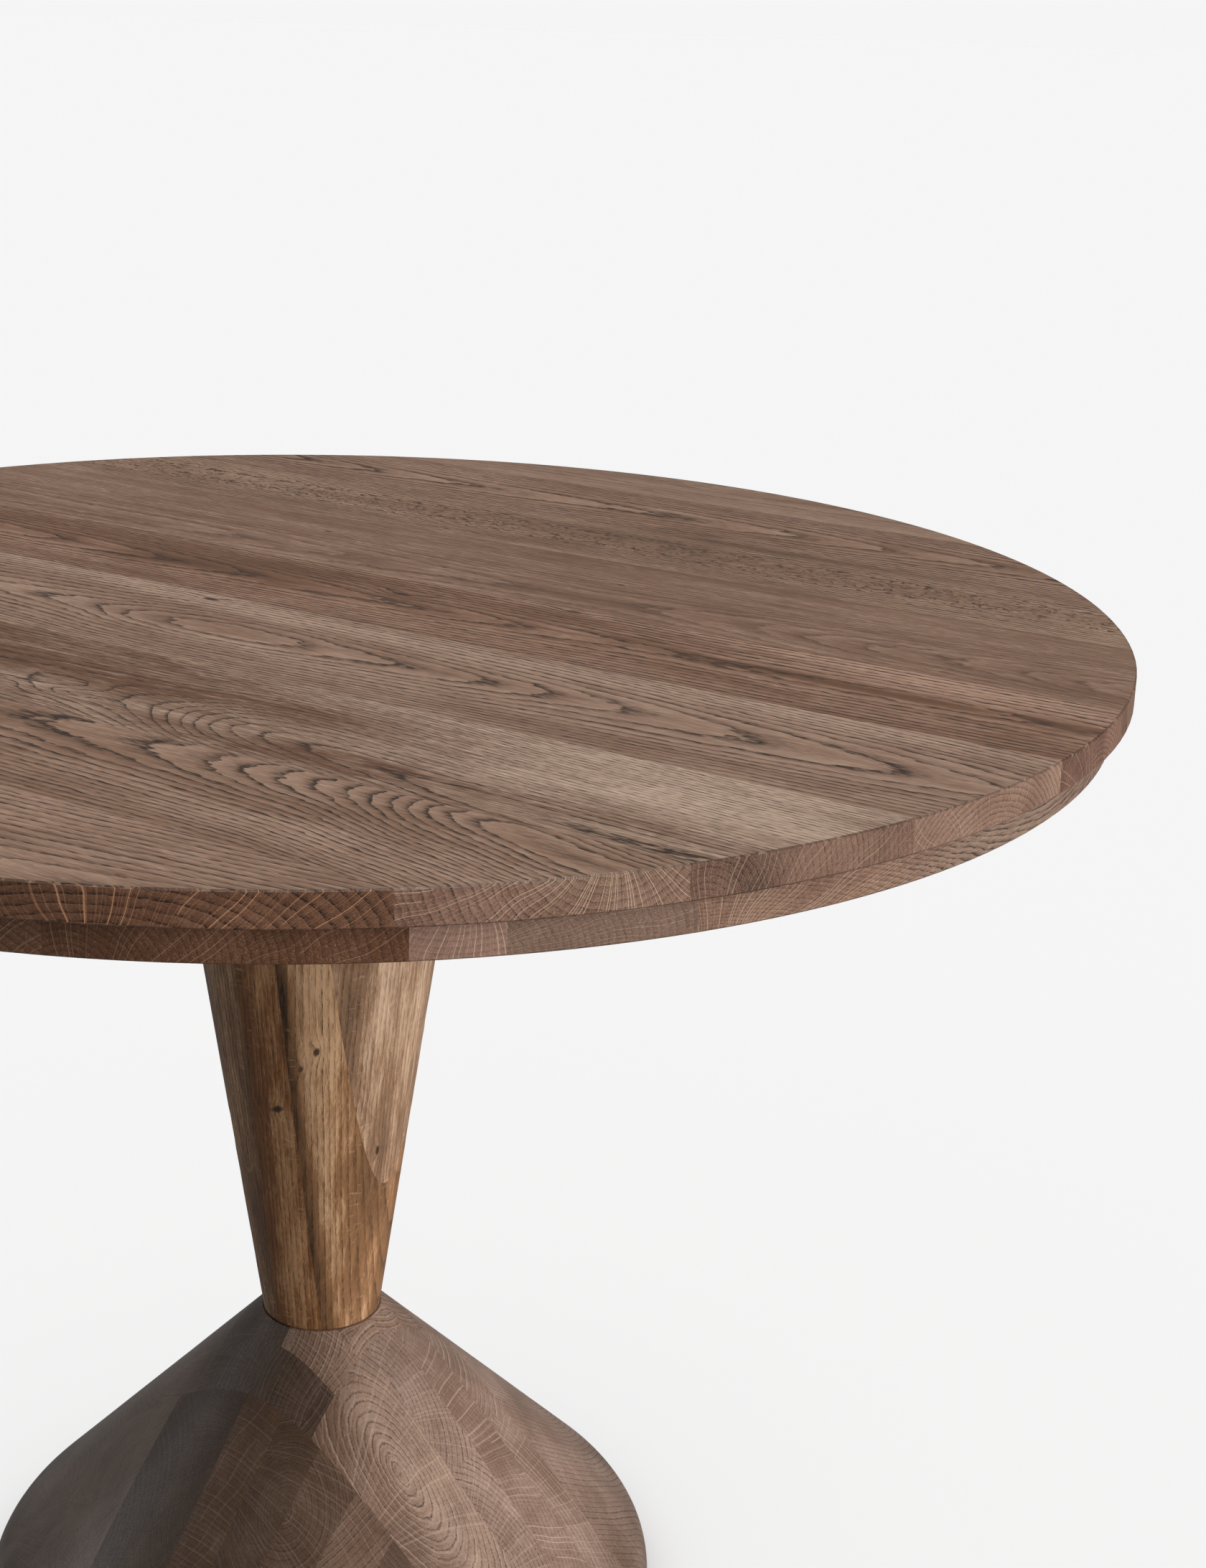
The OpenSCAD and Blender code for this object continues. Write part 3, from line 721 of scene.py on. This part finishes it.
cam.matrix_world = Matrix.Translation(eye) @ stance
bpy.context.scene.camera = cam


# ---------------------------------------------------------------- floor, backdrop and light

def plain(name, diffuse, glow):
    """A plain white for the studio: so much of it lit, and so much of its own."""
    material, t = blank(name)
    bsdf = t.shader()
    bsdf.inputs["Base Color"].default_value = (diffuse, diffuse, diffuse, 1.0)
    bsdf.inputs["Roughness"].default_value = 1.0
    bsdf.inputs["Specular IOR Level"].default_value = 0.0
    bsdf.inputs["Emission Color"].default_value = (1.0, 1.0, 1.0, 1.0)
    bsdf.inputs["Emission Strength"].default_value = glow
    return material


FLOOR_R = 60.0
BACKDROP_R = FLOOR_R * 0.98
SIDES_ROUND = 96
ROWS = 24


def circle(radius, z):
    """Points round the table's axis."""
    angles = [2 * math.pi * k / SIDES_ROUND for k in range(SIDES_ROUND)]
    return [(radius * math.cos(angle), radius * math.sin(angle), z) for angle in angles]


def staged(name, points, faces, material):
    """A mesh that isn't part of the table."""
    mesh = bpy.data.meshes.new(name)
    mesh.from_pydata(points, [], faces)
    mesh.materials.append(material)
    o = bpy.data.objects.new(name, mesh)
    bpy.context.scene.collection.objects.link(o)
    return o


floor_face = list(range(SIDES_ROUND))
floor = staged("floor", circle(FLOOR_R, 0.0), [floor_face], plain("floor_white", 0.45, 0.29))
floor.visible_diffuse = False
floor.visible_glossy = False

# The backdrop is a dome that only the camera sees.
dome = []
for j in range(ROWS):
    rise = math.pi / 2 * j / ROWS
    dome += circle(BACKDROP_R * math.cos(rise), BACKDROP_R * math.sin(rise))
panes = [(j + k, j + (k + 1) % SIDES_ROUND, j + SIDES_ROUND + (k + 1) % SIDES_ROUND, j + SIDES_ROUND + k)
         for j in range(0, SIDES_ROUND * (ROWS - 1), SIDES_ROUND) for k in range(SIDES_ROUND)]
backdrop = staged("backdrop", dome, panes, plain("backdrop_white", 0.0, 0.913))
backdrop.visible_diffuse = False
backdrop.visible_glossy = False
backdrop.visible_shadow = False
backdrop.visible_transmission = False

AMBIENT = 0.19
world = bpy.data.worlds.new("studio")
bpy.context.scene.world = world
world.use_nodes = True
sky = world.node_tree.nodes["Background"]
sky.inputs["Color"].default_value = (1.0, 1.0, 1.0, 1.0)
sky.inputs["Strength"].default_value = AMBIENT


def group(name, members, state):
    """A collection for light linking, whose members are all included or all left out."""
    made = bpy.data.collections.new(name)
    for member in members:
        made.objects.link(member)
    for entry in made.collection_objects:
        entry.light_linking.link_state = state
    return made


def sun(name, azimuth, elevation, strength, size, colour=(1.0, 1.0, 1.0)):
    """A far softbox. Azimuth 0 is to the camera's right, -90 towards the camera, and size is in degrees."""
    light = bpy.data.lights.new(name, "SUN")
    light.energy = strength
    light.angle = math.radians(size)
    light.color = colour
    o = bpy.data.objects.new(name, light)
    a, e = math.radians(azimuth) + VIEW_TURN, math.radians(elevation)
    direction = Vector((math.cos(a) * math.cos(e), math.sin(a) * math.cos(e), math.sin(e)))
    o.rotation_mode = "QUATERNION"
    o.rotation_quaternion = direction.to_track_quat("Z", "Y")
    bpy.context.scene.collection.objects.link(o)
    return o


# Three lights for the table, a fourth for the sheen on the base's far side, and one for the floor alone.
not_floor = group("lit_object", [floor], "EXCLUDE")
for lamp in (sun("key", -25.0, 7.0, 4.0, 45.0, (1.0, 0.985, 0.965)),
             sun("overhead", -60.0, 78.0, 2.1, 24.0),
             sun("sheen", 165.0, 10.0, 0.5, 20.0, (0.95, 0.97, 1.0))):
    lamp.light_linking.receiver_collection = not_floor
blocks = [o for n, o in NODES.items() if n.startswith("base_block")]
rim = sun("rim", 94.0, 8.0, 0.6, 30.0)
rim.light_linking.receiver_collection = group("lit_base", blocks, "INCLUDE")
near_floor = [o for n, o in NODES.items() if n.startswith(("base_", "foot_"))]
under = sun("floor_light", 0.0, 90.0, 1.2 * math.pi, 130.0)
under.data.cycles.use_multiple_importance_sampling = False
under.light_linking.receiver_collection = group("lit_floor", [floor], "INCLUDE")
under.light_linking.blocker_collection = group("floor_shadow", near_floor, "INCLUDE")

scene = bpy.context.scene
scene.view_settings.view_transform = "Standard"
scene.view_settings.look = "None"
scene.view_settings.exposure = 0.0
scene.view_settings.gamma = 1.0
